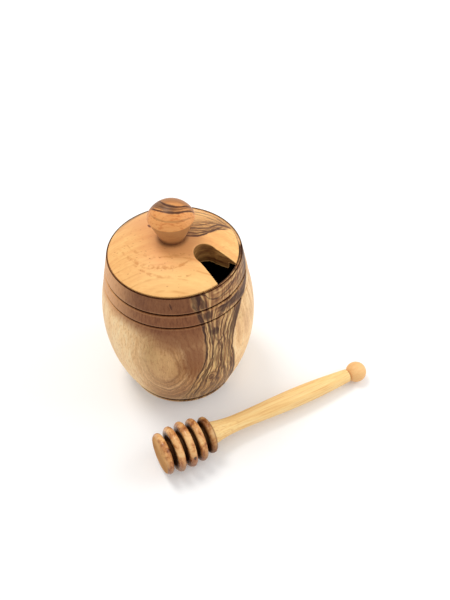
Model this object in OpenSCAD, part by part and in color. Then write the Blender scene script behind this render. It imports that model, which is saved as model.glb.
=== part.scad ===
// Turned olive wood honey pot: a grooved barrel with a drop-in lid,
// a mushroom knob and a ringed dipper lying on the table beside it.
// Millimetres, +Z up, origin at the centre of the pot's foot on the table.

/* [Barrel] */
// Radius of the barrel at its widest point
barrel_r = 44; // [42:0.5:48]
// Height of the widest point above the table
barrel_h = 49; // [46:0.5:52]
// Radius of the long arc that shapes the barrel's side
side_arc_r = 106; // [102:1:130]
// Thickness of the turned wall at the barrel's side
wall = 5; // [4:0.25:6]
// Thickness of the wood under the middle of the hollow
floor_t = 8; // [6:0.5:12]
// Radius of the dished floor inside the pot
floor_dish_r = 55; // [50:1:80]

/* [Foot] */
// Height of the low foot ring
foot_h = 2.2; // [1.5:0.1:3]
// Inset of the foot from the bottom edge of the barrel
foot_inset = 0.4; // [0.2:0.1:1.5]
// Height of the dark V-groove cut above the foot
foot_groove_w = 1; // [0.6:0.1:1.4]

/* [Neck] */
// Height where the barrel's arc meets the conical neck
neck_h = 77.6; // [75:0.2:79]
// Height of the upper of the two neck grooves
groove_h = 85.8; // [84:0.2:88]
// Width of a neck groove at the surface
groove_w = 1.5; // [1:0.1:2]
// Depth of a neck groove
groove_d = 1.4; // [0.8:0.1:1.8]
// Height of the mouth's lip above the table
lip_h = 96; // [94.5:0.5:99]
// Outer radius of the lip
lip_r = 36.5; // [36:0.25:37.5]
// Width of the thin lip that surrounds the lid
lip_t = 0.6; // [0.4:0.1:0.8]
// Depth of the rebate that the lid drops into
rebate_d = 0.9; // [0.6:0.1:1.4]
// Radius of the open mouth inside the rebate
mouth_r = 34.2; // [33:0.1:34.6]

/* [Lid] */
// Clearance all round between the lid's rim and the lip
lid_play = 0.9; // [0.9:0.1:1.3]
// Shift of the loose lid off the pot's axis along X, within its play
lid_x = -0.55; // [-0.55:0.05:0.55]
// The same shift along Y
lid_y = -0.2; // [-0.2:0.05:0.2]
// Thickness of the lid at its rim
lid_edge_t = 1.3; // [1:0.1:2]
// Rise of the domed top above the lid's rim
dome_rise = 9.3; // [6:0.5:11]
// Clearance all round between the spigot and the mouth
spigot_play = 3.3; // [2.5:0.1:4.5]
// Length of the spigot that hangs inside the mouth
spigot_h = 4.5; // [3:0.5:7]
// Radius of the rounded top edge of the lid
rim_round = 0.4; // [0.2:0.1:0.5]

/* [Dipper slot] */
// Compass angle of the slot's round end around the lid
slot_angle = -29; // [-90:1:90]
// Compass angle that the slot opens towards, a little off the radius as cut by hand
slot_turn = -37; // [-38:1:-20]
// Distance from the lid's axis to the middle of the slot's round end
slot_reach = 20.4; // [18:0.2:24]
// Radius of the slot's round end
slot_r = 6.6; // [6:0.1:7.6]
// Angle by which each side of the slot opens towards the rim
slot_flare = 10.5; // [0:0.5:14]

/* [Knob] */
// Radius of the knob at its widest edge
knob_r = 12.4; // [11:0.1:13]
// Radius of the knob where it stands on the lid
knob_foot_r = 6.5; // [6:0.1:8]
// Height of the knob's flared stem
knob_stem_h = 14; // [10:0.5:18]
// Height of the knob's domed head
knob_dome_h = 8; // [6:0.25:9]
// Rounding where the stem turns into the domed head
knob_round = 0.6; // [0.4:0.1:1.2]
// Radius of the tenon glued into the lid
tenon_r = 4; // [3:0.25:5]
// Length of the tenon
tenon_l = 9; // [6:0.5:11]

/* [Dipper head] */
// Number of honey rings
ring_count = 5; // [4:1:6]
// Radius of the largest ring
ring_r = 13.2; // [11:0.1:14]
// Place of the largest ring, counted from the end ring
ring_peak = 1.7; // [1:0.1:2.5]
// Share of the radius lost one step from the largest ring
ring_fall = 0.036; // [0:0.002:0.04]
// Thickness of a ring
ring_t = 4.2; // [3:0.1:5]
// Distance from one ring to the next
ring_pitch = 6.8; // [6:0.1:8]
// Radius of the core between the rings
core_r = 5.6; // [5:0.1:6.5]

/* [Dipper handle] */
// Length from the end ring's middle to the ball's centre
dipper_l = 130.7; // [120:0.5:150]
// Radius of the flared shoulder against the head
shoulder_r = 6.8; // [6:0.1:8]
// Radius of the handle's slim waist
waist_r = 4.8; // [4:0.1:5.5]
// Distance of the waist from the shoulder
waist_at = 17; // [12:1:22]
// Radius of the handle's swell
swell_r = 5.7; // [5:0.1:6.5]
// Radius at the far end, before the neck
tip_r = 4; // [3.5:0.1:4.5]
// Radius of the neck between handle and ball
neck_r = 2.4; // [2:0.1:3]
// Radius of the ball on the end
ball_r = 6.3; // [5.5:0.1:7]
// Radius of the tenon glued into the head
handle_tenon_r = 3; // [2.5:0.1:4]
// Length of that tenon
handle_tenon_l = 14; // [8:0.5:18]

/* [Dipper place] */
// Point on the table under the head's largest ring, along X
dipper_x = 3.2; // [-10:0.1:20]
// The same point along Y
dipper_y = -70.7; // [-85:0.1:-66]
// Turn of the dipper on the table
dipper_turn = 27.9; // [20:0.5:40]

/* [Hidden] */
$fn = 144;
// Glue gap round a tenon, room past its end, and small chamfer on sharp edges
glue = 0.05;
tenon_room = 0.5;
edge = 0.3;
// How far joined solids run into each other, and cutters past a face
lap = 1;
olive = "peru";
pale = "burlywood";
umber = "sienna";

// Barrel: the side's arc is centred inside the pot, level with the widest point
arc_x = barrel_r - side_arc_r;
function side_r(z, inset = 0) = arc_x + sqrt(pow(side_arc_r - inset, 2) - pow(z - barrel_h, 2));
function arc(c, r, a0, a1, n) = [for (i = [0:n]) let (a = a0 + (a1 - a0) * i / n) c + r * [cos(a), sin(a)]];
body_h0 = foot_h + foot_groove_w;
foot_r = side_r(body_h0) - foot_inset;
neck_step = 0.25;
step_r = side_r(neck_h) + neck_step;
function neck_at(z) = step_r + (lip_r - step_r) * (z - neck_h) / (lip_h - neck_h);

// Seat of the lid in the mouth
seat_h = lip_h - rebate_d;
lid_r = lip_r - lip_t - lid_play;
rim_h = seat_h + lid_edge_t;
spigot_r = mouth_r - spigot_play;
dome_r = (pow(lid_r, 2) + pow(dome_rise, 2)) / (2 * dome_rise);
dome_z = rim_h + dome_rise - dome_r;
land_margin = 0.4;
land_r = knob_foot_r + land_margin;
land_h = dome_z + sqrt(pow(dome_r, 2) - pow(land_r, 2));

// Knob: a spherical cap on a flared stem, standing on the lid's land
knob_edge_h = land_h + knob_stem_h;
cap_r = (pow(knob_r, 2) + pow(knob_dome_h, 2)) / (2 * knob_dome_h);
cap_z = knob_edge_h + knob_dome_h - cap_r;

// Dipper: rings swell towards the peak, and the axis drops until ring and ball touch the table
function ring_radius(i) = ring_r * (1 - ring_fall * pow(i - ring_peak, 2));
function ring_tilt(i) = let (a = dipper_l - i * ring_pitch, b = ring_radius(i) - ring_t / 2)
    atan2(b, a) + asin((ring_t / 2 - ball_r) / norm([a, b]));
tilt = max([for (i = [0:ring_count - 1]) ring_tilt(i)]);
head_l = (ring_count - 1) * ring_pitch + ring_t / 2;
stick_l = dipper_l - head_l;
swell_at = stick_l * 0.57;
neck_l = 0.4;
tip_at = stick_l - ball_r - neck_l;
taper_power = 1.8;
function handle_r(s) = s < waist_at
    ? waist_r + (shoulder_r - waist_r) * pow(1 - s / waist_at, 2)
    : s < swell_at
        ? waist_r + (swell_r - waist_r) * (1 - cos(180 * (s - waist_at) / (swell_at - waist_at))) / 2
        : swell_r - (swell_r - tip_r) * pow((s - swell_at) / (tip_at - swell_at), taper_power);

module barrel_profile() {
    intersection() {
        translate([arc_x, barrel_h]) circle(side_arc_r);
        translate([0, body_h0]) square([barrel_r, neck_h - body_h0]);
    }
    polygon([[0, neck_h], [step_r, neck_h], [lip_r, lip_h - edge], [lip_r - edge, lip_h], [0, lip_h]]);
    polygon([
        [0, 0], [foot_r - edge, 0], [foot_r, edge], [foot_r, foot_h],
        [foot_r - foot_groove_w, foot_h + foot_groove_w / 2],
        [side_r(body_h0), body_h0], [0, body_h0]
    ]);
}

module hollow_profile() {
    // The side of the hollow follows the barrel, and its floor is dished
    intersection() {
        translate([arc_x, barrel_h]) circle(side_arc_r - wall);
        translate([0, floor_t + floor_dish_r]) circle(floor_dish_r);
        square([barrel_r, seat_h]);
    }
    translate([0, barrel_h]) square([mouth_r, lip_h]);
    translate([0, seat_h]) square([lip_r - lip_t, lip_h]);
}

module pot() {
    color(olive) rotate_extrude() difference() {
        barrel_profile();
        hollow_profile();
        for (z = [neck_h, groove_h]) v_notch(z);
    }
}

// A V-groove of the stated width and depth, square to the table, at height z
module v_notch(z) {
    r = neck_at(z);
    polygon([[r - groove_d, z], [r + groove_d, z - groove_w], [r + groove_d, z + groove_w]]);
}

// Round at the knob's side, with straight sides that open towards the rim
module slot_outline() {
    reach = lid_r + 2 * lap - slot_reach;
    side = slot_r * [sin(slot_flare), cos(slot_flare)];
    open = side.y + (reach - side.x) * tan(slot_flare);
    circle(slot_r);
    polygon([side, [side.x, -side.y], [reach, -open], [reach, open]]);
}

module lid_profile() {
    // Domed top that runs through a small round into the upright rim
    round_z = dome_z + sqrt(pow(dome_r - rim_round, 2) - pow(lid_r - rim_round, 2));
    round_a = atan2(round_z - dome_z, lid_r - rim_round);
    under = seat_h - spigot_h;
    polygon(concat(
        [[0, under], [spigot_r - edge, under], [spigot_r, under + edge], [spigot_r, seat_h]],
        [[lid_r - edge, seat_h], [lid_r, seat_h + edge]],
        arc([lid_r - rim_round, round_z], rim_round, 0, round_a, 5),
        arc([0, dome_z], dome_r, round_a, atan2(land_h - dome_z, land_r), 24),
        [[0, land_h]]
    ));
}

// Places the loose lid and its knob in the rebate
module on_seat() {
    translate([lid_x, lid_y, 0]) children();
}

module lid() {
    color(olive) on_seat() difference() {
        rotate_extrude() lid_profile();
        rotate(slot_angle) translate([slot_reach, 0, seat_h - spigot_h - lap])
            rotate(slot_turn - slot_angle)
                linear_extrude(spigot_h + lid_edge_t + dome_rise + lap) slot_outline();
        translate([0, 0, land_h - tenon_l - tenon_room])
            cylinder(h = tenon_l + tenon_room + lap, r = tenon_r + glue);
    }
}

module knob() {
    // A small round joins the leaning stem to the spherical cap
    lean = atan2(knob_r - knob_foot_r, knob_stem_h);
    along = [sin(lean), cos(lean)];
    inward = [-cos(lean), sin(lean)];
    start = [knob_r, knob_edge_h - cap_z] + knob_round * inward;
    drop = start * along - sqrt(pow(start * along, 2) - start * start + pow(cap_r - knob_round, 2));
    centre = start - drop * along;
    turn = atan2(centre.y, centre.x);
    color(umber) on_seat() rotate_extrude() {
        translate([0, land_h - tenon_l]) square([tenon_r, tenon_l + lap]);
        polygon(concat(
            [[0, land_h], [knob_foot_r, land_h]],
            arc(centre + [0, cap_z], knob_round, -lean, turn, 8),
            arc([0, cap_z], cap_r, turn, 90, 24)
        ));
    }
}

// Stands the dipper on its largest ring and its ball, at its place on the table
module on_table() {
    translate([dipper_x, dipper_y, 0]) rotate([0, 0, dipper_turn])
        translate([-ring_peak * ring_pitch * cos(tilt), 0, ball_r + dipper_l * sin(tilt)])
            rotate([0, 90 + tilt, 0]) children();
}

module dipper_head() {
    color(umber) on_table() difference() {
        rotate_extrude() {
            square([core_r, head_l]);
            for (i = [0:ring_count - 1]) translate([0, i * ring_pitch]) ring_section(ring_radius(i));
        }
        translate([0, 0, head_l - handle_tenon_l - tenon_room])
            cylinder(h = handle_tenon_l + tenon_room + lap, r = handle_tenon_r + glue);
    }
}

// Half section of a disc with a fully rounded rim
module ring_section(r) {
    translate([0, -ring_t / 2]) square([r - ring_t / 2, ring_t]);
    translate([r - ring_t / 2, 0]) circle(ring_t / 2);
}

module dipper_handle() {
    steps = 40;
    color(pale) on_table() translate([0, 0, head_l]) rotate_extrude() {
        translate([0, -handle_tenon_l]) square([handle_tenon_r, handle_tenon_l + lap]);
        polygon(concat(
            [[0, 0]],
            [for (i = [0:steps]) let (s = tip_at * i / steps) [handle_r(s), s]],
            [[neck_r, tip_at + 2 * neck_l], [neck_r, stick_l], [0, stick_l]]
        ));
        translate([0, stick_l]) intersection() {
            circle(ball_r);
            translate([0, -ball_r]) square([ball_r, 2 * ball_r]);
        }
    }
}

pot();
lid();
knob();
dipper_head();
dipper_handle();
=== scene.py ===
"""Looks of a turned olive wood honey pot with its drop-in lid, knob and dipper."""
import math

import bpy
from mathutils import Matrix, Vector


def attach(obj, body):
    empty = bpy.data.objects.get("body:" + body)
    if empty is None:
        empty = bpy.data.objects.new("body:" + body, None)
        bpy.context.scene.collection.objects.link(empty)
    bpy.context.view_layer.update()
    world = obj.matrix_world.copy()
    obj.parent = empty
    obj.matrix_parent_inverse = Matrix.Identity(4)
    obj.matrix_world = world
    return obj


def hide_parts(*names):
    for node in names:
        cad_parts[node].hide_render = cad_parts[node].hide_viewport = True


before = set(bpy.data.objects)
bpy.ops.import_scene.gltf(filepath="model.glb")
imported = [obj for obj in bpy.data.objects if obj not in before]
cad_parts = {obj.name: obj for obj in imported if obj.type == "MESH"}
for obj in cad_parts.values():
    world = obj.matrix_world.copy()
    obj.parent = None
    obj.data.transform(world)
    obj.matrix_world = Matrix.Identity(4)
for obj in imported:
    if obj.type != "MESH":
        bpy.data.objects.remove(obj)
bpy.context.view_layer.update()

MM = 0.001
# Faces round a turned piece, and the angle from which an edge stays crisp
SEGMENTS = 256
SHARP = math.radians(40)

# Sizes in millimetres, the same as the construction model's
BARREL_R, BARREL_H, SIDE_ARC_R = 44.0, 49.0, 106.0
ARC_X = BARREL_R - SIDE_ARC_R
WALL = 5.0
FLOOR_T, FLOOR_DISH_R = 8.0, 55.0
# Height where the hollow's side meets its dished floor
CORNER_H = 20.5
FOOT_H, FOOT_INSET, FOOT_GROOVE = 2.2, 0.4, 1.0
NECK_H, NECK_STEP = 77.6, 0.25
GROOVE_H, GROOVE_W, GROOVE_D = 85.8, 1.5, 1.4
LIP_H, LIP_R, LIP_T = 96.0, 36.5, 0.6
REBATE_D, MOUTH_R = 0.9, 34.2
SEAT_H = LIP_H - REBATE_D
# Small chamfer on sharp turned edges
EDGE = 0.3

LID_PLAY, SPIGOT_PLAY = 0.9, 3.3
LID_R = LIP_R - LIP_T - LID_PLAY
LID_X, LID_Y = -0.55, -0.2
LID_EDGE_T, DOME_RISE = 1.3, 9.3
RIM_H = SEAT_H + LID_EDGE_T
RIM_ROUND = 0.4
SPIGOT_R, SPIGOT_H = MOUTH_R - SPIGOT_PLAY, 4.5
UNDER_H = SEAT_H - SPIGOT_H
DOME_R = (LID_R ** 2 + DOME_RISE ** 2) / (2 * DOME_RISE)
DOME_Z = RIM_H + DOME_RISE - DOME_R
SLOT_ANGLE, SLOT_TURN, SLOT_REACH, SLOT_R, SLOT_FLARE = -29.0, -37.0, 20.4, 6.6, 10.5
# Width of the sanded ease on the slot's top edge
SLOT_EASE = 0.45

KNOB_R, KNOB_FOOT_R = 12.4, 6.5
KNOB_STEM_H, KNOB_DOME_H, KNOB_ROUND = 14.0, 8.0, 0.6
LAND_MARGIN = 0.4
LAND_R = KNOB_FOOT_R + LAND_MARGIN
LAND_H = DOME_Z + math.sqrt(DOME_R ** 2 - LAND_R ** 2)
KNOB_EDGE_H = LAND_H + KNOB_STEM_H
CAP_R = (KNOB_R ** 2 + KNOB_DOME_H ** 2) / (2 * KNOB_DOME_H)
CAP_Z = KNOB_EDGE_H + KNOB_DOME_H - CAP_R

RING_COUNT, RING_R, RING_PEAK, RING_FALL = 5, 13.2, 1.7, 0.036
RING_T, RING_PITCH, CORE_R = 4.2, 6.8, 5.6
DIPPER_L = 130.7
SHOULDER_R, WAIST_R, WAIST_AT, SWELL_R, TIP_R = 6.8, 4.8, 17.0, 5.7, 4.0
NECK_R, NECK_L, BALL_R = 2.4, 0.4, 6.3
SWELL_SHARE, TAPER_POWER = 0.57, 1.8
DIPPER_X, DIPPER_Y, DIPPER_TURN = 3.2, -70.7, 27.9
HEAD_L = (RING_COUNT - 1) * RING_PITCH + RING_T / 2
STICK_L = DIPPER_L - HEAD_L
SWELL_AT = STICK_L * SWELL_SHARE
TIP_AT = STICK_L - BALL_R - NECK_L

# Place of the lid and knob, off the pot's axis within the lid's play
ON_SEAT = Matrix.Translation(Vector((LID_X, LID_Y, 0)) * MM)


# Meshes

def arc(centre, radius, start, end, steps):
    """Points on an arc, angles in degrees."""
    points = []
    for i in range(steps + 1):
        a = math.radians(start + (end - start) * i / steps)
        points.append((centre[0] + radius * math.cos(a), centre[1] + radius * math.sin(a)))
    return points


def dense(points, step):
    """The same open profile with no stretch longer than step."""
    out = [points[0]]
    for (r0, z0), (r1, z1) in zip(points, points[1:]):
        n = max(1, math.ceil(math.hypot(r1 - r0, z1 - z0) / step))
        out += [(r0 + (r1 - r0) * i / n, z0 + (z1 - z0) * i / n) for i in range(1, n + 1)]
    return out


def soften(points, radius):
    """Rounds the corners of a profile a little, as sanding does."""
    out = [points[0]]
    for a, b, c in zip(points, points[1:], points[2:]):
        p, q, s = Vector(a), Vector(b), Vector(c)
        into, away = p - q, s - q
        if into.length < 1e-6 or away.length < 1e-6:
            continue
        reach = min(radius, 0.45 * into.length, 0.45 * away.length)
        if into.angle(away) > math.radians(165):
            out.append(b)
            continue
        start, end = q + into.normalized() * reach, q + away.normalized() * reach
        out += [tuple(start), tuple((start + 2 * q + end) / 4), tuple(end)]
    out.append(points[-1])
    return out


def lathe(name, profile, place=None):
    """Turns a profile of (radius, height) in millimetres into a smooth closed mesh."""
    verts, faces, rows = [], [], []
    for r, z in profile:
        if r < 1e-6:
            rows.append([len(verts)])
            verts.append((0, 0, z * MM))
        else:
            rows.append(list(range(len(verts), len(verts) + SEGMENTS)))
            for k in range(SEGMENTS):
                a = 2 * math.pi * k / SEGMENTS
                verts.append((r * math.cos(a) * MM, r * math.sin(a) * MM, z * MM))
    for low, high in zip(rows, rows[1:]):
        for k in range(SEGMENTS):
            n = (k + 1) % SEGMENTS
            if len(low) == 1 and len(high) == 1:
                continue
            if len(low) == 1:
                faces.append((low[0], high[n], high[k]))
            elif len(high) == 1:
                faces.append((low[k], low[n], high[0]))
            else:
                faces.append((low[k], low[n], high[n], high[k]))
    mesh = bpy.data.meshes.new(name)
    mesh.from_pydata(verts, [], faces)
    if place is not None:
        mesh.transform(place)
    mesh.polygons.foreach_set("use_smooth", [True] * len(mesh.polygons))
    mesh.set_sharp_from_angle(angle=SHARP)
    mesh.update()
    piece = bpy.data.objects.new(name, mesh)
    bpy.context.scene.collection.objects.link(piece)
    return piece


def side_r(z, inset=0.0):
    """Radius of the barrel's side at height z."""
    return ARC_X + math.sqrt((SIDE_ARC_R - inset) ** 2 - (z - BARREL_H) ** 2)


def floor_z(r):
    """Height of the hollow's dished floor at radius r."""
    return FLOOR_T + FLOOR_DISH_R - math.sqrt(FLOOR_DISH_R ** 2 - r ** 2)


def side_points(start, end, inset, steps):
    """Points along the barrel's side between two heights."""
    heights = [start + (end - start) * i / steps for i in range(steps + 1)]
    return [(side_r(z, inset), z) for z in heights]


def pot_mesh():
    body_h0 = FOOT_H + FOOT_GROOVE
    foot_r = side_r(body_h0) - FOOT_INSET
    step_r = side_r(NECK_H) + NECK_STEP

    def neck_at(z):
        return step_r + (LIP_R - step_r) * (z - NECK_H) / (LIP_H - NECK_H)

    def notch(z):
        low, high = z - GROOVE_W / 2, z + GROOVE_W / 2
        return [(neck_at(low), low), (neck_at(z) - GROOVE_D, z), (neck_at(high), high)]

    outer = [(0, 0), (foot_r - EDGE, 0), (foot_r, EDGE), (foot_r, FOOT_H)]
    outer += [(foot_r - FOOT_GROOVE, FOOT_H + FOOT_GROOVE / 2)]
    outer += side_points(body_h0, NECK_H - GROOVE_W / 2, 0, 70)
    outer += notch(NECK_H)[1:] + notch(GROOVE_H)
    outer += [(LIP_R, LIP_H - EDGE), (LIP_R - EDGE, LIP_H), (LIP_R - LIP_T, LIP_H)]
    meet = BARREL_H + math.sqrt((SIDE_ARC_R - WALL) ** 2 - (MOUTH_R - ARC_X) ** 2)
    inner = [(LIP_R - LIP_T, SEAT_H), (MOUTH_R, SEAT_H)] + side_points(meet, CORNER_H, WALL, 50)
    floor_r = int(side_r(CORNER_H, WALL)) - 1
    inner += [(r, floor_z(r)) for r in range(floor_r, -1, -1)]
    return lathe("pot_turned", dense(soften(outer + inner, 0.25), 2.0))


def lid_mesh():
    round_z = DOME_Z + math.sqrt((DOME_R - RIM_ROUND) ** 2 - (LID_R - RIM_ROUND) ** 2)
    round_a = math.degrees(math.atan2(round_z - DOME_Z, LID_R - RIM_ROUND))
    land_a = math.degrees(math.atan2(LAND_H - DOME_Z, LAND_R))
    profile = [(0, UNDER_H), (SPIGOT_R - EDGE, UNDER_H), (SPIGOT_R, UNDER_H + EDGE), (SPIGOT_R, SEAT_H)]
    profile += [(LID_R - EDGE, SEAT_H), (LID_R, SEAT_H + EDGE)]
    profile += arc((LID_R - RIM_ROUND, round_z), RIM_ROUND, 0, round_a, 5)
    profile += arc((0, DOME_Z), DOME_R, round_a, land_a, 40)[1:]
    profile += [(0, LAND_H)]
    lid = lathe("lid_turned", dense(profile, 2.0))
    cutter = slot_cutter()
    cut = lid.modifiers.new("slot", "BOOLEAN")
    cut.operation, cut.solver, cut.object = "DIFFERENCE", "EXACT", cutter
    bpy.context.view_layer.update()
    shaped = bpy.data.meshes.new_from_object(lid.evaluated_get(bpy.context.evaluated_depsgraph_get()))
    lid.modifiers.clear()
    lid.data = shaped
    bpy.data.objects.remove(cutter)
    shaped.polygons.foreach_set("use_smooth", [True] * len(shaped.polygons))
    shaped.set_sharp_from_angle(angle=SHARP)
    shaped.transform(ON_SEAT)
    return lid


def slot_outline(extra):
    """The slot's outline in plan, open past the lid's rim and grown outwards by extra."""
    past_rim = 4
    reach = LID_R + past_rim - SLOT_REACH
    flare = math.radians(SLOT_FLARE)
    r = SLOT_R + extra
    side = (r * math.sin(flare), r * math.cos(flare))
    bend = arc((0, 0), r, 90 - SLOT_FLARE, 270 + SLOT_FLARE, 40)
    steps = 24
    run = [side[0] + (reach - side[0]) * i / steps for i in range(steps, 0, -1)]
    upper = [(x, side[1] + (x - side[0]) * math.tan(flare)) for x in run]
    lower = [(x, -y) for x, y in reversed(upper)]
    place = Vector((SLOT_REACH, 0))
    place.rotate(Matrix.Rotation(math.radians(SLOT_ANGLE), 2))
    turn = Matrix.Rotation(math.radians(SLOT_TURN), 2)
    return [tuple(turn @ Vector(point) + place) for point in upper + bend + lower]


def slot_cutter():
    """A plug with the slot's plan whose top edge flares a little where it meets the dome."""
    def dome(x, y):
        return DOME_Z + math.sqrt(max(DOME_R ** 2 - x * x - y * y, 0))

    loops = [[(x, y, UNDER_H - 3) for x, y in slot_outline(0)]]
    for degrees in (0, 22, 45, 68, 90):
        a = math.radians(degrees)
        out, up = SLOT_EASE * (1 - math.cos(a)), SLOT_EASE * (math.sin(a) - 1)
        loops.append([(x, y, dome(x, y) + up) for x, y in slot_outline(out)])
    clear = slot_outline(SLOT_EASE + 0.2)
    loops.append([(x, y, dome(x, y) + 1) for x, y in clear])
    loops.append([(x, y, LIP_H + 20) for x, y in clear])
    n = len(loops[0])
    verts = [tuple(c * MM for c in p) for loop in loops for p in loop]
    faces = [tuple(reversed(range(n))), tuple(range((len(loops) - 1) * n, len(loops) * n))]
    for level in range(len(loops) - 1):
        for k in range(n):
            a, b = level * n + k, level * n + (k + 1) % n
            faces.append((a, b, b + n, a + n))
    mesh = bpy.data.meshes.new("slot_plug")
    mesh.from_pydata(verts, [], faces)
    mesh.update()
    plug = bpy.data.objects.new("slot_plug", mesh)
    bpy.context.scene.collection.objects.link(plug)
    return plug


def knob_mesh():
    lean = math.atan2(KNOB_R - KNOB_FOOT_R, KNOB_STEM_H)
    along = Vector((math.sin(lean), math.cos(lean)))
    inward = Vector((-math.cos(lean), math.sin(lean)))
    start = Vector((KNOB_R, KNOB_EDGE_H - CAP_Z)) + KNOB_ROUND * inward
    reach = start.dot(along)
    drop = reach - math.sqrt(reach ** 2 - start.dot(start) + (CAP_R - KNOB_ROUND) ** 2)
    centre = start - drop * along
    turn = math.degrees(math.atan2(centre.y, centre.x))
    profile = [(0, LAND_H), (KNOB_FOOT_R, LAND_H)]
    profile += arc((centre.x, centre.y + CAP_Z), KNOB_ROUND, -math.degrees(lean), turn, 10)
    profile += arc((0, CAP_Z), CAP_R, turn, 90, 40)[1:-1] + [(0, CAP_Z + CAP_R)]
    return lathe("knob_turned", dense(profile, 1.0), place=ON_SEAT)


def ring_radius(i):
    return RING_R * (1 - RING_FALL * (i - RING_PEAK) ** 2)


def dipper_place():
    """Stands the dipper on its largest ring and its ball, at its place on the table."""
    tilts = []
    for i in range(RING_COUNT):
        a, b = DIPPER_L - i * RING_PITCH, ring_radius(i) - RING_T / 2
        tilts.append(math.atan2(b, a) + math.asin((RING_T / 2 - BALL_R) / math.hypot(a, b)))
    tilt = max(tilts)
    back = Vector((-RING_PEAK * RING_PITCH * math.cos(tilt), 0, BALL_R + DIPPER_L * math.sin(tilt))) * MM
    return (
        Matrix.Translation(Vector((DIPPER_X, DIPPER_Y, 0)) * MM)
        @ Matrix.Rotation(math.radians(DIPPER_TURN), 4, "Z")
        @ Matrix.Translation(back)
        @ Matrix.Rotation(math.radians(90) + tilt, 4, "Y")
    )


def dipper_head_mesh(place):
    profile = [(0, -RING_T / 2)]
    for i in range(RING_COUNT):
        r, z = ring_radius(i) - RING_T / 2, i * RING_PITCH
        if i:
            profile += [(CORE_R, z - RING_T / 2)]
        profile += arc((r, z), RING_T / 2, -90, 90, 14)
        profile += [(CORE_R, z + RING_T / 2)] if i < RING_COUNT - 1 else [(0, z + RING_T / 2)]
    return lathe("dipper_head_turned", dense(soften(profile, 0.2), 1.2), place=place)


def handle_r(s):
    """Radius of the handle at distance s from the head."""
    if s < WAIST_AT:
        return WAIST_R + (SHOULDER_R - WAIST_R) * (1 - s / WAIST_AT) ** 2
    if s < SWELL_AT:
        turn = math.pi * (s - WAIST_AT) / (SWELL_AT - WAIST_AT)
        return WAIST_R + (SWELL_R - WAIST_R) * (1 - math.cos(turn)) / 2
    return SWELL_R - (SWELL_R - TIP_R) * ((s - SWELL_AT) / (TIP_AT - SWELL_AT)) ** TAPER_POWER


def dipper_handle_mesh(place):
    steps = 80
    along = [TIP_AT * i / steps for i in range(steps + 1)]
    profile = [(0, 0)] + [(handle_r(at), at) for at in along]
    profile += [(NECK_R, TIP_AT + 2 * NECK_L)]
    start = -math.degrees(math.acos(NECK_R / BALL_R))
    ball = arc((0, STICK_L), BALL_R, start, 90, 40)
    profile += ball[:-1] + [(0, STICK_L + BALL_R)]
    profile = [(r, HEAD_L + s) for r, s in profile]
    return lathe("dipper_handle_turned", profile, place=place)


# Shader arithmetic

def srgb(r, g, b):
    """Linear colour from the usual 0 to 255 values."""
    def linear(c):
        c /= 255
        return c / 12.92 if c <= 0.04045 else ((c + 0.055) / 1.055) ** 2.4

    return (linear(r), linear(g), linear(b), 1.0)


def feed(tree, socket, value):
    """Links a shader value to a socket, or sets a plain value on it."""
    if isinstance(value, Sig):
        tree.links.new(value.out, socket)
    else:
        socket.default_value = value


class Sig:
    """A shader value: Python arithmetic on it adds math nodes."""

    def __init__(self, tree, out):
        self.tree, self.out = tree, out

    def math(self, operation, *others):
        node = self.tree.nodes.new("ShaderNodeMath")
        node.operation = operation
        for i, value in enumerate((self,) + others):
            feed(self.tree, node.inputs[i], value)
        return Sig(self.tree, node.outputs[0])

    def const(self, value):
        node = self.tree.nodes.new("ShaderNodeValue")
        node.outputs[0].default_value = value
        return Sig(self.tree, node.outputs[0])

    def __add__(self, other):
        return self.math("ADD", other)

    __radd__ = __add__

    def __sub__(self, other):
        return self.math("SUBTRACT", other)

    def __rsub__(self, other):
        return self.const(other).math("SUBTRACT", self)

    def __mul__(self, other):
        return self.math("MULTIPLY", other)

    def __truediv__(self, other):
        return self.math("DIVIDE", other)

    def larger(self, other):
        """The larger of the two values."""
        return self.math("MAXIMUM", other)

    def size(self):
        """The value without its sign."""
        return self.math("ABSOLUTE")

    def step(self, low, high):
        """0 at low, 1 at high, smooth in between. low may be above high."""
        node = self.tree.nodes.new("ShaderNodeMapRange")
        node.interpolation_type = "SMOOTHSTEP"
        flip = not isinstance(low, Sig) and not isinstance(high, Sig) and low > high
        first, last = (high, low) if flip else (low, high)
        for value, socket in ((self, "Value"), (first, "From Min"), (last, "From Max")):
            feed(self.tree, node.inputs[socket], value)
        node.inputs["To Min"].default_value = 1.0 if flip else 0.0
        node.inputs["To Max"].default_value = 0.0 if flip else 1.0
        return Sig(self.tree, node.outputs["Result"])

    def wave(self):
        """Sine of this value counted in whole turns, from 0 to 1."""
        return (self * (2 * math.pi)).math("SINE") * 0.5 + 0.5


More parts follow.
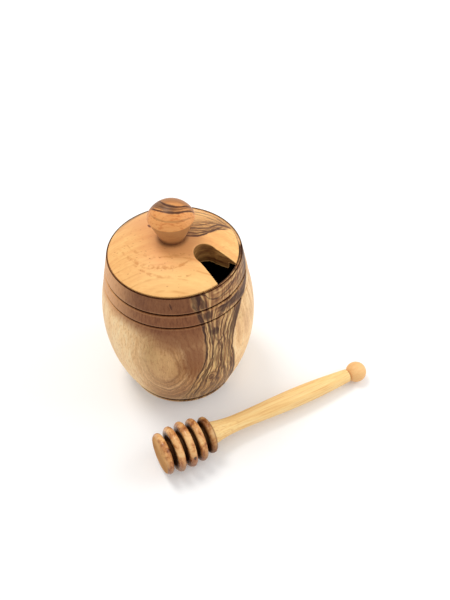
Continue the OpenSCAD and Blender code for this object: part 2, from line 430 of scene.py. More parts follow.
class Wood:
    """One wood material: coordinates in millimetres and tools to paint with."""

    def __init__(self, name, place=None):
        self.material = bpy.data.materials.new(name)
        self.material.use_nodes = True
        self.tree = self.material.node_tree
        self.shader = self.tree.nodes["Principled BSDF"]
        coords = self.tree.nodes.new("ShaderNodeTexCoord")
        point = coords.outputs["Object"]
        if place is not None:
            turn = self.tree.nodes.new("ShaderNodeMapping")
            turn.vector_type = "POINT"
            back = place.inverted()
            turn.inputs["Location"].default_value = back.to_translation()
            turn.inputs["Rotation"].default_value = back.to_euler("XYZ")
            self.tree.links.new(point, turn.inputs["Vector"])
            point = turn.outputs["Vector"]
        split = self.tree.nodes.new("ShaderNodeSeparateXYZ")
        self.tree.links.new(point, split.inputs[0])
        self.x, self.y, self.z = (Sig(self.tree, out) * 1000 for out in split.outputs)

    def facing(self):
        """How far the surface faces up or down, from 1 to -1."""
        split = self.tree.nodes.new("ShaderNodeSeparateXYZ")
        coords = self.tree.nodes.new("ShaderNodeTexCoord")
        self.tree.links.new(coords.outputs["Normal"], split.inputs[0])
        return Sig(self.tree, split.outputs[2])

    def vector(self, x, y, z):
        """A vector socket made of three values."""
        node = self.tree.nodes.new("ShaderNodeCombineXYZ")
        for i, value in enumerate((x, y, z)):
            feed(self.tree, node.inputs[i], value)
        return node.outputs[0]

    def noise(self, x, y, z, detail=3.0, rough=0.5, distort=0.0):
        """Noise from 0 to 1 whose cells are one unit of the given coordinates across."""
        node = self.tree.nodes.new("ShaderNodeTexNoise")
        self.tree.links.new(self.vector(x, y, z), node.inputs["Vector"])
        node.inputs["Scale"].default_value = 1.0
        node.inputs["Detail"].default_value = detail
        node.inputs["Roughness"].default_value = rough
        node.inputs["Distortion"].default_value = distort
        return Sig(self.tree, node.outputs[0])

    def cells(self, x, y, z):
        """Distance to the nearest point of a random scatter, one point per unit."""
        node = self.tree.nodes.new("ShaderNodeTexVoronoi")
        node.inputs["Scale"].default_value = 1.0
        self.tree.links.new(self.vector(x, y, z), node.inputs["Vector"])
        return Sig(self.tree, node.outputs["Distance"])

    def curve(self, value, points, low, high):
        """A smooth curve through (value, result) points; low and high bound all numbers."""
        node = self.tree.nodes.new("ShaderNodeFloatCurve")
        track = node.mapping.curves[0]
        unit = [((a - low) / (high - low), (b - low) / (high - low)) for a, b in sorted(points)]
        track.points[0].location, track.points[1].location = unit[0], unit[-1]
        for point in unit[1:-1]:
            track.points.new(*point)
        node.mapping.update()
        scaled = (value - low) / (high - low)
        self.tree.links.new(scaled.out, node.inputs["Value"])
        return Sig(self.tree, node.outputs[0]) * (high - low) + low

    def blend(self, share, under, over, kind="MIX"):
        """The colour under where share is 0, and over where it is 1."""
        node = self.tree.nodes.new("ShaderNodeMix")
        node.data_type = "RGBA"
        node.blend_type = kind
        node.clamp_factor = True
        for i, value in ((0, share), (6, under), (7, over)):
            feed(self.tree, node.inputs[i], value)
        return Sig(self.tree, node.outputs[2])

    def ramp(self, share, stops):
        """The colour of a row of (position, colour) stops at the given share."""
        node = self.tree.nodes.new("ShaderNodeValToRGB")
        self.tree.links.new(share.out, node.inputs[0])
        track = node.color_ramp
        while len(track.elements) < len(stops):
            track.elements.new(0.5)
        for element, (position, value) in zip(track.elements, stops):
            element.position, element.color = position, value
        return Sig(self.tree, node.outputs["Color"])

    def finish(self, colour, roughness, height, strength=0.15, coat=0.0, matt=None):
        """Connects colour, roughness and a fine relief to the shader; nothing shines where matt is 1."""
        self.tree.links.new(colour.out, self.shader.inputs["Base Color"])
        self.tree.links.new(roughness.out, self.shader.inputs["Roughness"])
        bump = self.tree.nodes.new("ShaderNodeBump")
        bump.inputs["Strength"].default_value = strength
        bump.inputs["Distance"].default_value = 0.3 * MM
        self.tree.links.new(height.out, bump.inputs["Height"])
        self.tree.links.new(bump.outputs[0], self.shader.inputs["Normal"])
        self.shader.inputs["IOR"].default_value = 1.45
        shine = self.shader.inputs["Specular IOR Level"]
        shine.default_value = SHEEN
        if matt is not None:
            self.tree.links.new((matt * -SHEEN + SHEEN).out, shine)
        feed(self.tree, self.shader.inputs["Coat Weight"], coat)
        self.shader.inputs["Coat Roughness"].default_value = 0.25
        return self.material


# Shine of the oiled wood, and colours that several pieces share
SHEEN = 0.22
DARK_LINE = srgb(62, 34, 26)
BURNT_AND_LIP_SHADE = srgb(44, 16, 8)

# Left and right edges of the pot's heartwood: (height, angle from the front in degrees) points
HEART_LEFT = ((8, 4), (20, 9.3), (34, 14.6), (45, 19.6), (60, 23.3), (70, 23.3), (78, 21.8), (87, 19.4),
              (96, 17))
HEART_RIGHT = ((0, 55), (24, 52), (40, 48.5), (57, 46.5), (66, 50), (71, 55), (76, 62), (80, 72),
               (86, 86), (96, 99))
# Its dark lines: half width in degrees, darkness and (height, angle) points
HEART_LINES = (
    (1.0, 0.8, ((12, 13), (26, 18), (39, 21), (46, 24), (56, 28), (66, 28.3), (75, 27), (86, 27), (96, 22))),
    (0.7, 0.5, ((40, 30.5), (52, 31), (60, 37), (66, 47), (74, 55), (80, 66))),
    (0.7, 0.55, ((66, 33), (72, 34.5), (78, 38), (84, 45), (92, 58))),
    (0.7, 0.55, ((6, 22), (16, 27), (26, 31), (36, 33), (46, 32.5), (54, 34))),
    (0.6, 0.5, ((6, 32), (18, 37), (30, 40.5), (44, 40), (58, 39.5), (64, 42))),
    (0.6, 0.5, ((76, 31), (82, 34), (88, 41), (93, 52), (96, 60))),
    (0.9, 0.7, ((26, 19), (40, 22.5), (51, 28.5), (61, 32), (65, 37.5), (70, 41), (77, 45), (84, 52))),
    (0.9, 0.6, ((10, 47), (19, 43), (34, 39), (44, 36.5), (56, 35), (62, 33.5), (66, 31.4), (71, 29.5),
                (78, 27))),
    (0.8, 0.6, ((30, 35), (46, 36.4), (56, 36.2), (62, 37.6), (66, 40.7), (70, 44), (77, 51), (84, 60))),
    (1.0, 0.7, ((10, 52), (27, 46.6), (39, 44), (48, 42.3), (56, 42), (62, 43.6), (67, 46), (73, 52),
                (80, 63))),
)
# Its dark belt along the neck and the V-shaped line above that: (angle, height) points
HEART_BELT = ((30, 80.5), (40, 82.4), (49, 82.6), (57, 82), (64, 80.8), (74, 79.2), (84, 76.5))
HEART_VEE = ((17, 96), (27, 95), (30, 92.5), (36, 90), (44, 90.3), (53, 91.5), (62, 94), (72, 97))
# Its dark patches: angle, height, half width, half height and darkness
HEART_SPOTS = (
    (19.5, 92, 3.2, 6, 0.95), (24.5, 89.5, 3.6, 3.4, 0.8), (27.5, 82.3, 4.6, 3.6, 0.9),
    (21.5, 83, 1.8, 4, 0.8), (32, 70.5, 5, 3.2, 0.85), (66, 90, 7, 4, 0.4),
)
# A small eye low down: angle, height, half width and half height. Its rings: radius, as a
# share of those two halves, and darkness
HEART_EYE = (26.5, 33.5, 3.4, 3.2)
EYE_RINGS = ((0.7, 0.6), (1.5, 0.45))


def hump(x, y, x0, y0, wide, tall):
    """A smooth hill of height 1 at (x0, y0), as wide and as tall as the last two say."""
    u, v = (x - x0) / wide, (y - y0) / tall
    return ((u * u + v * v) * -1).math("EXPONENT")


def growth_line(t, soft=0.55):
    """Darkness of one growth ring per unit of t: it builds up slowly and ends sharply."""
    phase = t.math("FRACT")
    return phase.step(soft, 0.92) * phase.step(1.0, 0.95)


def heart_lines(w, bent, z):
    """Darkness of the heartwood's lines, whose widths vary along them."""
    dark = z.const(0.0)
    for half, strength, points in HEART_LINES:
        track = w.curve(z, points, 0, 100)
        width = w.noise(track * 0.3, z * 0.09, half * 5, 2).step(0.25, 0.75) * half * 1.2 + half * 0.45
        low, high = points[0][0], points[-1][0]
        ends = z.step(low - 4, low + 4) if low > 8 else z.const(1.0)
        if high < LIP_H:
            ends = ends * z.step(high + 3, high - 3)
        line = ((bent - track).size() / width).step(1.3, 0.4)
        dark = dark.larger(line * ends * strength)
    return dark


def heart_marks(w, bent, z, quick, thin, rim_lines):
    """Darkness of the heartwood's V, belt, patches and eye."""
    vee = (z - w.curve(bent, HEART_VEE, 0, 100) + quick * 0.3).size()
    dark = vee.step(0.75, 0.25) * z.step(87, 88) * 0.75
    belt = (z - w.curve(bent, HEART_BELT, 0, 100) + (rim_lines - 0.5) * 1.6).size()
    dark = dark.larger(belt.step(3.0, 1.5) * bent.step(34, 41) * z.step(78, 78.5) * 0.9)
    for at, height, wide, tall, strength in HEART_SPOTS:
        spot = hump(bent + (thin - 0.5) * 3, z, at, height, wide, tall)
        dark = dark.larger(spot.step(0.3, 0.75) * strength)
    eye_at, eye_h, eye_wide, eye_tall = HEART_EYE
    u, v = (bent - eye_at) / eye_wide, (z - eye_h) / eye_tall
    from_eye = (u * u + v * v).math("SQRT")
    for radius, strength in EYE_RINGS:
        dark = dark.larger((from_eye - radius).size().step(0.28, 0.08) * strength)
    return dark


def heart_wood(w, angle, z, fibres):
    """The pot's dark wavy heartwood: how far it reaches, and its colour."""
    x, y = w.x, w.y
    slow = (w.noise(x * 0.07, y * 0.07, z * 0.06, 2) - 0.5) * 3
    quick = (w.noise(x * 0.3, y * 0.3, z * 0.14, 2, 0.6) - 0.5) * 2.4
    left = w.curve(z, HEART_LEFT, 0, 100)
    right = w.curve(z, HEART_RIGHT, 0, 100)
    bent = angle + slow + quick
    across = (bent - left) / (right - left)
    inside = across.step(-0.06, -0.01) * across.step(1.02, 0.97)

    # Tan and olive wood between the lines, with many thin faint ones
    depth = w.noise(across * 5, z * 0.03, 14.0, 4, 0.65)
    thin = (across * 9 + w.noise(across * 2.2, z * 0.032, 9.0, 2) * 4.5).wave()
    along = z.step(77.5, 80) * bent.step(30, 42)
    rim_lines = (z * 0.36 + w.noise(angle * 0.05, z * 0.12, 7.0, 3, 0.55) * 3.2).wave()
    depth = depth + (w.noise(angle * 0.04, z * 0.45, 2.0, 3, 0.6) - depth) * along
    thin = thin + (rim_lines - thin) * along
    thin = thin * 0.6 + (across * 21 + w.noise(across * 4, z * 0.045, 5.0, 2) * 5).wave() * 0.4
    tone = depth * 0.85 + (thin - 0.5) * 0.46 + fibres * 0.3 - 0.10
    heart = w.ramp(tone, [
        (0.20, srgb(78, 46, 34)), (0.37, srgb(136, 96, 64)), (0.53, srgb(186, 142, 94)),
        (0.68, srgb(228, 190, 130))])
    heart = w.blend(z.step(76, 84) * 0.35, heart, srgb(166, 112, 68))
    heart = w.blend(z.step(36, 20) * 0.3, heart, srgb(200, 154, 90))

    # The left seam, the lines and marks, and the dark right edge
    seam_half = z.step(72, 81) * 1.3 + z.step(10, 50) * 0.55 + 0.4
    seam = ((bent - left).size() / seam_half).step(1.3, 0.4)
    dark = seam * (z.step(10, 46) * 0.45 + 0.5)
    dark = dark.larger(heart_lines(w, bent, z))
    dark = dark.larger(heart_marks(w, bent, z, quick, thin, rim_lines))
    reach = across + quick * 0.02
    dark = dark.larger(reach.step(0.66, 0.86) * z.step(54, 66) * 0.85)
    dark = dark.larger(reach.step(0.87, 0.97) * 0.75)
    streaks = w.noise(across * 16, z * 0.06, 3.0, 3, 0.6).step(0.34, 0.52)
    heart = w.blend(dark * (streaks * 0.34 + 0.66), heart, DARK_LINE)
    return inside, heart


def oval_wood(w, angle, z, fibres, flecks, broad):
    """Light wood with oval rings in front, how many ovals out a point lies, and the waviness in that."""
    x, y = w.x, w.y
    u, v = (angle + 9) / 20, (z - 50) / 26
    stray = (w.noise(x * 0.06, y * 0.06, z * 0.05, 3, 0.55) - 0.5) * 0.5
    jitter = (w.noise(x * 0.35, y * 0.35, z * 0.3, 3, 0.6) - 0.5) * 0.09
    oval = (u * u + v * v).math("SQRT") + stray + jitter
    side = (u * 0.8 - v * 0.5 + (broad - 0.5) * 2).step(-0.6, 0.9) * 0.6 + 0.4
    light = w.ramp(broad * 0.4 + fibres * 0.35 + flecks * 0.25, [
        (0.36, srgb(182, 132, 84)), (0.5, srgb(216, 170, 116)), (0.64, srgb(236, 198, 144))])
    rings = w.ramp(oval * 0.5, [
        (0.0, srgb(200, 152, 100)), (0.13, srgb(210, 166, 112)), (0.24, srgb(196, 148, 98)),
        (0.30, srgb(136, 86, 50)), (0.34, srgb(202, 154, 102)), (0.40, srgb(172, 122, 76)),
        (0.47, srgb(240, 198, 144)), (0.51, srgb(144, 94, 56)), (0.55, srgb(220, 172, 118)),
        (0.60, srgb(158, 108, 68)), (0.65, srgb(212, 162, 110)), (0.72, srgb(144, 94, 58))])
    grain = w.ramp(fibres * 0.5 + flecks * 0.5, [(0.38, srgb(176, 128, 82)), (0.6, srgb(232, 192, 138))])
    rings = w.blend(0.3, rings, grain)
    light = w.blend(side * oval.step(1.75, 1.3), light, rings)
    fine_rings = growth_line(oval * 8 + broad * 4) * oval.step(0.3, 0.8)
    light = w.blend(fine_rings * side * 0.5, light, srgb(126, 78, 46))
    return light, oval, stray


def light_wood(w, angle, z, fibres, flecks, broad):
    """The pot's wood beside the heartwood: ovals, ruddy and olive patches, cream sides, brown neck."""
    x, y = w.x, w.y
    light, oval, stray = oval_wood(w, angle, z, fibres, flecks, broad)
    ruddy = hump(angle, z, 6, 74, 32, 14).larger(hump(angle, z, 14, 54, 11, 19) * 0.85)
    ruddy = (ruddy + (broad - 0.5) * 0.7 + (flecks - 0.5) * 0.3).step(0.15, 0.8)
    light = w.blend(ruddy * 0.85, light, srgb(138, 88, 55))
    olive = hump(angle, z, -18, 56, 7, 17) * (flecks * 0.5 + fibres * 0.5).step(0.36, 0.6)
    light = w.blend(olive * 0.65, light, srgb(186, 152, 98))

    # Cream on the left, and on the right with faint upright lines
    sweep = w.noise(oval * 3, broad * 3, 6.0, 3, 0.55)
    cream = w.ramp(fibres * 0.3 + flecks * 0.2 + broad * 0.15 + sweep * 0.35, [
        (0.36, srgb(224, 174, 116)), (0.5, srgb(250, 210, 154)), (0.62, srgb(255, 232, 186))])
    cream = w.blend((broad + flecks * 0.3).step(0.66, 0.5) * 0.35, cream, srgb(204, 172, 112))
    light = w.blend((angle + stray * 30).step(-16, -40) * 0.9, light, cream)
    sap_lines = w.noise(angle * 0.22, z * 0.03, 12.0, 3, 0.6).step(0.46, 0.62)
    sap = w.blend((sap_lines * 0.5 + 0.2) * z.step(44, 60), cream, srgb(208, 160, 114))
    light = w.blend(angle.step(40, 46), light, sap)

    neck = w.ramp(fibres * 0.5 + broad * 0.4 + flecks * 0.1, [
        (0.34, srgb(112, 64, 38)), (0.66, srgb(156, 102, 64))])
    neck = w.blend(z.step(86, 88) * angle.step(-50, -20) * 0.3, neck, srgb(88, 44, 26))
    neck = w.blend(angle.step(-24, -66) * 0.9, neck, srgb(226, 168, 114))
    light = w.blend(z.step(68, 78) * angle.step(-130, -60) * angle.step(60, 40) * 0.95, light, neck)
    pores = w.noise(x * 1.1, y * 1.1, z * 0.3, 4, 0.7).step(0.5, 0.36)
    return w.blend(pores * 0.6, light, srgb(216, 198, 182), "MULTIPLY")


def pot_wood():
    """Light olive wood with a band of dark heartwood, burned grooves, and painted shade in the hollow and on
    the lip's top.
    """
    w = Wood("pot_olive_wood")
    x, y, z = w.x, w.y, w.z
    angle = x.math("ARCTAN2", y * -1) * (180 / math.pi)
    fibres = w.noise(x * 0.9, y * 0.9, z * 0.05, 5, 0.6)
    flecks = w.noise(x * 1.6, y * 1.6, z * 0.35, 3, 0.6)
    broad = w.noise(x * 0.05, y * 0.05, z * 0.035, 3, 0.55)
    inside, heart = heart_wood(w, angle, z, fibres)
    colour = w.blend(inside, light_wood(w, angle, z, fibres, flecks, broad), heart)

    # A tick on the upper band, paler wood along the grooves' edges, the burned grooves and foot, and painted
    # shade on the lip's top
    tick_h = 91.5
    tick = hump(angle + (z - tick_h) * 0.35, z, -0.5, tick_h, 0.8, 2.4).step(0.35, 0.7)
    colour = w.blend(tick * 0.75, colour, srgb(60, 28, 18))
    groove = (z - NECK_H).size().math("MINIMUM", (z - GROOVE_H).size())
    foot = z.step(1.2, 1.8) * z.step(4.6, 3.4) * 0.85
    pale_foot = z.step(4.8, 6.0) * z.step(8.5, 7.0) * angle.step(24, 12) * 0.5
    colour = w.blend(pale_foot, colour, srgb(228, 190, 144))
    # Paler wood along the grooves' edges
    pale_groove_edges = groove.step(1.6, 1.0) * groove.step(0.6, 0.8) * 0.15
    colour = w.blend(pale_groove_edges, colour, srgb(226, 172, 122))
    # Painted shade: the lip's top is darkened with the groove colour, standing in for the shadowed gap round
    # the lid
    lip_gap_shade = z.step(LIP_H - 0.45, LIP_H - 0.2)
    burnt_and_lip_shade = groove.step(0.62, 0.34).larger(foot).larger(lip_gap_shade * 0.9)
    colour = w.blend(burnt_and_lip_shade, colour, BURNT_AND_LIP_SHADE)

    # Painted shade in the hollow and on the mouth's ledge
    radius = (x * x + y * y).math("SQRT")
    above_floor = z.step(FLOOR_T - 2, FLOOR_T - 1)
    ledge_shade = radius.step(MOUTH_R + 1.0, MOUTH_R + 0.4)
    hollow = (radius - side_sig(z) + WALL / 2).step(0.2, -0.2)
    colour = w.blend(ledge_shade.larger(hollow) * above_floor, colour, srgb(66, 42, 28))
    rough = 0.44 + (fibres - 0.5) * 0.2
    dull = groove.step(1.0, 0.6).larger(lip_gap_shade)
    return w.finish(colour, rough, fibres * 0.6 + flecks * 0.3, matt=dull)


def side_sig(z):
    """Radius of the barrel's side as a shader value."""
    return (SIDE_ARC_R ** 2 - (z - BARREL_H) * (z - BARREL_H)).math("SQRT") + ARC_X


def honey_wood(w):
    """Warm light olive wood of the lid and knob: its growth coordinate, fibres and colour."""
    x, y, z = w.x, w.y, w.z
    growth = y + x * x * 0.007 + (w.noise(x * 0.04, y * 0.05, z * 0.05, 2) - 0.5) * 5
    bands = w.noise(x * 0.015, growth * 0.25, z * 0.05, 4, 0.6)
    fibres = w.noise(x * 0.10, y * 1.2, z * 1.2, 5, 0.62)
    cloud = w.noise(x * 0.07, y * 0.09, z * 0.09, 3, 0.5)
    base = w.ramp(bands * 0.4 + fibres * 0.35 + cloud * 0.25, [
        (0.32, srgb(222, 156, 96)), (0.48, srgb(238, 180, 112)), (0.64, srgb(247, 200, 130))])
    return growth, fibres, base


def tracks(w, across, along, lines, low, high, wobble):
    """Darkness of a set of lines, each given as half width, darkness and (along, across) points."""
    dark = across.const(0.0)
    for half, strength, points in lines:
        track = w.curve(along, points, low, high)
        width = w.noise(along * 0.2, track * 0.3, half * 9, 2).step(0.25, 0.75) * half + half
        start, end = points[0][0], points[-1][0]
        ends = along.step(start - 2, start + 2) * along.step(end + 2, end - 2)
        near = ((across + wobble - track).size() / width).step(1.3, 0.35)
        dark = dark.larger(near * ends * strength)
    return dark


# Lines on the lid and the knob: half width in mm, darkness and (x, y) points
LID_LINES = (
    (0.55, 1.0, ((3, 1), (7, 0.6), (10, 0.8), (13.7, 2), (17, 4.5), (19.5, 7), (22.4, 10.7), (25.4, 14.7))),
    (0.55, 0.9, ((3, 3.4), (8, 3.3), (12, 3.6), (16, 5.4), (18.5, 7.2), (21.4, 9.8), (24, 11.4),
                 (28, 13.5))),
    (0.35, 0.6, ((5, 5.4), (10, 5.4), (14, 6.3), (18, 8.4), (21.5, 11.5), (25, 14))),
    (0.6, 0.9, ((5, 7.2), (9, 7.5), (12.6, 8), (16, 9.1), (18, 9.8), (21, 13.3), (24.4, 16.2), (30, 16.2))),
    (0.5, 0.75, ((7, 10), (10, 10.3), (13.5, 11.3), (17, 13.6), (19.3, 15.7), (22.4, 16.6), (27, 17.8))),
    (0.4, 0.6, ((7, 13), (10.4, 13.2), (13.9, 13.9), (16.3, 15.5), (21, 18))),
    (0.4, 0.55, ((6, 24.5), (15, 22.5), (18.2, 21.4), (21.8, 19.8), (26, 17.2))),
    (0.5, 0.7, ((5, 28), (16.6, 26.1), (20.2, 25.4), (23.3, 22.7), (26, 20), (29.5, 16))),
)
# Lower edge of the dark band behind the knob, as (x, y)
LID_SAG = ((-36, 27), (-24, 24), (-10, 14), (3, 2), (14, 2.3), (21.5, 8), (29.5, 15.5), (36, 20))
LID_ARCS = (
    (0.8, 0.75, ((-24, -11), (-14, -19), (-6, -20.7), (0, -20.3), (6, -18.4), (9.4, -15.9))),
    (0.6, 0.6, ((-20, -17), (-10, -24), (-3, -25.7), (4, -25.4), (10.6, -23.7))),
    (0.6, 0.5, ((-26, 0), (-18, -10), (-8, -14), (2, -13.6), (8, -11))),
    (0.5, 0.5, ((-28, -5), (-20, -14), (-10, -19), (-4, -19))),
)
KNOB_LINES = (
    (0.5, 1.0, ((-7.5, 6), (-6.3, 4.2), (-3.1, -0.5), (0.2, -2.1), (3.9, -1.8), (6.9, 0.4), (10, 4))),
    (0.5, 0.95, ((-10.5, 1), (-9.4, -0.5), (-6.8, -3.2), (-3.8, -4.9), (-0.6, -5.7), (3.1, -5.3),
                 (6.2, -3.7), (8.8, -1.5), (11.5, 1.5))),
    (0.35, 0.6, ((-6, -1), (-3, -2.9), (0, -3.9), (3, -3.6), (6.1, -1.8), (8.7, 1.2), (10, 4))),
    (0.3, 0.5, ((-8, 1), (-5, -1.6), (-2, -3.2), (1, -3.1), (4, -2.6))),
    (0.4, 0.7, ((-8, 9), (-3, 7.4), (2, 7.6), (7, 9.5))),
    (0.3, 0.35, ((-10, -4), (-5, -8.6), (0, -9.6), (5, -8.4), (10, -4))),
)


def lid_base(w, growth, base):
    """The lid's plain wood: ruddy round the knob and at the back left, paler at the front."""
    x, y = w.x, w.y
    near = (x * x + (y + 3) * (y + 3)).math("SQRT") + (w.noise(x * 0.08, y * 0.08, 3.0, 2) - 0.5) * 10
    base = w.blend(near.step(27, 9) * 0.6, base, srgb(232, 160, 102))
    base = w.blend(hump(x, y, -14, 15, 14, 10) * 0.7, base, srgb(216, 148, 100))
    base = w.blend(hump(x, y, 6, -27, 22, 7) * 0.5, base, srgb(250, 207, 136))
    arcs = growth_line(growth * 0.16 + 0.1, 0.75) * w.noise(x * 0.12, y * 0.12, 5.0, 2).step(0.42, 0.62)
    return w.blend(arcs * 0.45 * y.step(-6, -13), base, srgb(204, 134, 70))


def lid_band(w, base, fibres, wobble, radius):
    """Adds the dark growth lines behind the knob."""
    x, y = w.x, w.y
    deep = y - w.curve(x, LID_SAG, -40, 40) + wobble
    band = deep.step(-0.5, 0.5) * x.step(-14, -2)
    grey = w.noise(x * 0.08, y * 0.35, 8.0, 4, 0.65)
    between = w.ramp(grey * 0.8 + fibres * 0.3, [
        (0.34, srgb(108, 70, 46)), (0.5, srgb(172, 124, 78)), (0.66, srgb(234, 180, 112))])
    base = w.blend(band * deep.step(22, 10) * 0.9, base, between)
    thin = (deep * 0.9 + w.noise(x * 0.08, y * 0.2, 6.0, 2, 0.5) * 2).wave().step(0.45, 0.1)
    base = w.blend(band * thin * 0.45, base, srgb(110, 72, 48))
    dark = tracks(w, y, x, LID_LINES, -40, 40, wobble * 0.6)
    rim = radius.step(32.0, 34.5) * hump(x, y, -24, 25, 13, 11)
    return w.blend(dark.larger(rim * 0.6), base, srgb(84, 54, 42))


def lid_marks(w, colour, wobble):
    """Adds faint arcs, small brown pores and ticks, most of them in front on the left, and a knot."""
    x, y = w.x, w.y
    gaps = w.noise(x * 0.4, y * 0.4, 9.0, 2).step(0.4, 0.6)
    faint = tracks(w, y, x, LID_ARCS, -40, 40, wobble * 0.7) * gaps
    colour = w.blend(faint, colour, srgb(206, 138, 74))
    patch = w.noise(x * 0.10, y * 0.12, 7.0, 2).step(0.42, 0.56)
    pores = w.cells(x * 0.3, y * 0.55, 1.0).step(0.2, 0.1) * patch
    ticks = w.cells(x * 0.34 + y * 0.1, y * 0.62, 4.0).step(0.22, 0.1)
    in_front = hump(x, y, -12, -18, 14, 7) + hump(x, y, -6, -12, 7, 5)
    ticks = ticks * (in_front + hump(x, y, -20, 2, 9, 12) * 0.8)
    knot = hump(x + (y - 10) * 0.5, y, -13.7, 10.0, 0.9, 1.9).step(0.3, 0.8)
    colour = w.blend((pores * 0.45).larger(ticks * 0.6), colour, srgb(172, 96, 46))
    return w.blend(knot * 0.9, colour, srgb(96, 46, 34))


def lid_wood():
    """Honey-coloured wood with a dark streaked band behind the knob, a painted shadow round the knob's foot
    and painted shade on the cut faces.
    """
    w = Wood("lid_olive_wood")
    x, y, z = w.x, w.y, w.z
    growth, fibres, base = honey_wood(w)
    radius = (x * x + y * y).math("SQRT")
    wobble = (w.noise(x * 0.25, y * 0.3, 2.0, 3, 0.6) - 0.5) * 2.2
    colour = lid_band(w, lid_base(w, growth, base), fibres, wobble, radius)
    colour = lid_marks(w, colour, wobble)

    # Painted shadow round the knob's foot with painted shade in the joint, and painted shade on the slot's
    # cut faces
    u, v = x - LID_X, y - LID_Y
    from_knob = (u * u + v * v).math("SQRT")
    colour = w.blend(from_knob.step(KNOB_FOOT_R + 10, KNOB_FOOT_R + 1) * 0.3, colour, srgb(176, 122, 80))
    colour = w.blend(from_knob.step(KNOB_FOOT_R + 3.2, KNOB_FOOT_R) * 0.7, colour, srgb(104, 56, 30))
    # Painted shade on the slot's cut faces and the lid's rim edge, with a paler strip along their lower edge
    upright = w.facing().size().step(0.35, 0.15)
    in_rim = radius.step(LID_R - 0.6, LID_R - 0.8) * z.step(SEAT_H + 0.1, SEAT_H + 0.3)
    shaded_cut_faces = radius.step(SPIGOT_R - 0.5, SPIGOT_R - 0.7).larger(in_rim)
    cut = w.ramp(w.noise(x * 0.12, y * 0.12, z * 0.4, 4, 0.6), [
        (0.35, srgb(110, 68, 38)), (0.5, srgb(150, 106, 58)), (0.65, srgb(184, 138, 80))])
    lower = z.step(UNDER_H + 0.9, UNDER_H + 0.5)
    cut = w.blend(lower * 0.7, cut, srgb(222, 182, 116))
    colour = w.blend(upright * shaded_cut_faces, colour, cut)
    rough = 0.46 + (fibres - 0.5) * 0.2
    return w.finish(colour, rough, fibres * 0.6)


def knob_wood():
    """The lid's wood with curved dark lines over a smoky patch on the domed head, and painted shade under
    the head and at the knob's foot.
    """
    w = Wood("knob_olive_wood")
    x, y, z = w.x, w.y, w.z
    _, fibres, base = honey_wood(w)
    wobble = (w.noise(x * 0.3, y * 0.3, z * 0.3, 3, 0.6) - 0.5) * 1.3
    on_head = z.step(KNOB_EDGE_H + 0.14, KNOB_EDGE_H + 1.64)
    colour = w.blend(0.7, base, srgb(222, 146, 82))
    streak = w.noise(x * 0.12, y * 0.9, z * 0.9, 4, 0.65)
    colour = w.blend(streak.step(0.48, 0.64) * 0.7, colour, srgb(196, 112, 58))
    colour = w.blend(y.step(-2, 3) * on_head * 0.8, colour, srgb(150, 102, 64))
    bow = y + 5.6 - (x - 1) * (x - 1) * 0.058 + wobble
    smoke = bow.step(-0.5, 0.6) * (bow + x * 0.12).step(5.6, 4.2) * x.step(5, -2)
    ash = w.ramp(w.noise(x * 0.3, bow * 1.3, 3.0, 3, 0.6), [
        (0.38, srgb(84, 56, 38)), (0.62, srgb(150, 112, 74))])
    colour = w.blend(smoke * 0.92 * on_head, colour, ash)
    between = bow.step(-0.3, 0.8) * bow.step(4.6, 3.6)
    colour = w.blend(between * 0.35 * on_head, colour, srgb(150, 100, 64))
    dark = tracks(w, y, x, KNOB_LINES, -14, 14, wobble * 0.5)
    colour = w.blend(dark * on_head, colour, srgb(80, 46, 30))
    # Painted shade under the overhanging head
    stem_shade = z.step(KNOB_EDGE_H + 0.3, KNOB_EDGE_H - 0.3)
    colour = w.blend(stem_shade * 0.7, colour, srgb(158, 116, 76))
    # Painted shade darkening towards the knob's foot on the lid
    colour = w.blend(z.step(LAND_H + 5, LAND_H) * 0.7, colour, srgb(92, 54, 30))
    rough = 0.4 + (fibres - 0.5) * 0.2
    return w.finish(colour, rough, fibres * 0.6)


def head_wood(place):
    """Dark mottled end of the dipper. z runs along the dipper's axis, x points down."""
    w = Wood("dipper_head_wood", place)
    x, y, z = w.x, w.y, w.z
    fibres = w.noise(x * 0.9, y * 0.9, z * 0.10, 4, 0.6)
    mottle = w.noise(x * 0.16, y * 0.16, z * 0.2, 3, 0.6, 0.6)
    colour = w.ramp(mottle * 0.85 + fibres * 0.15, [
        (0.32, srgb(120, 66, 34)), (0.43, srgb(184, 120, 68)), (0.52, srgb(220, 162, 100)),
        (0.66, srgb(242, 198, 138))])
    # Painted shade on the rings' lower side, broken up by the mottle
    under = (x + (mottle - 0.5) * 16).step(-7, 2)
    colour = w.blend(under * 0.7, colour, srgb(116, 60, 32))
    colour = w.blend(x.step(5.5, 8.5) * 0.6, colour, srgb(222, 176, 136))
    radius = (x * x + y * y).math("SQRT")
    face = -RING_T / 2
    # Painted light: the shaded end face is paled towards the tan of the lit rims
    end = z.step(face + 0.5, face + 0.1)
    colour = w.blend(end * 0.55, colour, srgb(206, 160, 108))
    # Painted shade in the gaps between the rings and round the core
    gap_shade = radius.step(RING_R - 1.3, RING_R - 4.7) * z.step(face + 0.1, face + 0.5)
    colour = w.blend(gap_shade * 0.9, colour, srgb(50, 26, 14))
    middle_ring = 2 * RING_PITCH
    pin_hole = hump(x, z, -4.0, middle_ring, 1.2, 1.0).step(0.3, 0.7) * y.step(-8, -9)
    colour = w.blend(pin_hole * 0.9, colour, srgb(50, 14, 8))
    dull = gap_shade.larger(end)
    return w.finish(colour, 0.28 + (fibres - 0.5) * 0.2, fibres, 0.2, dull * -0.4 + 0.4, matt=dull)


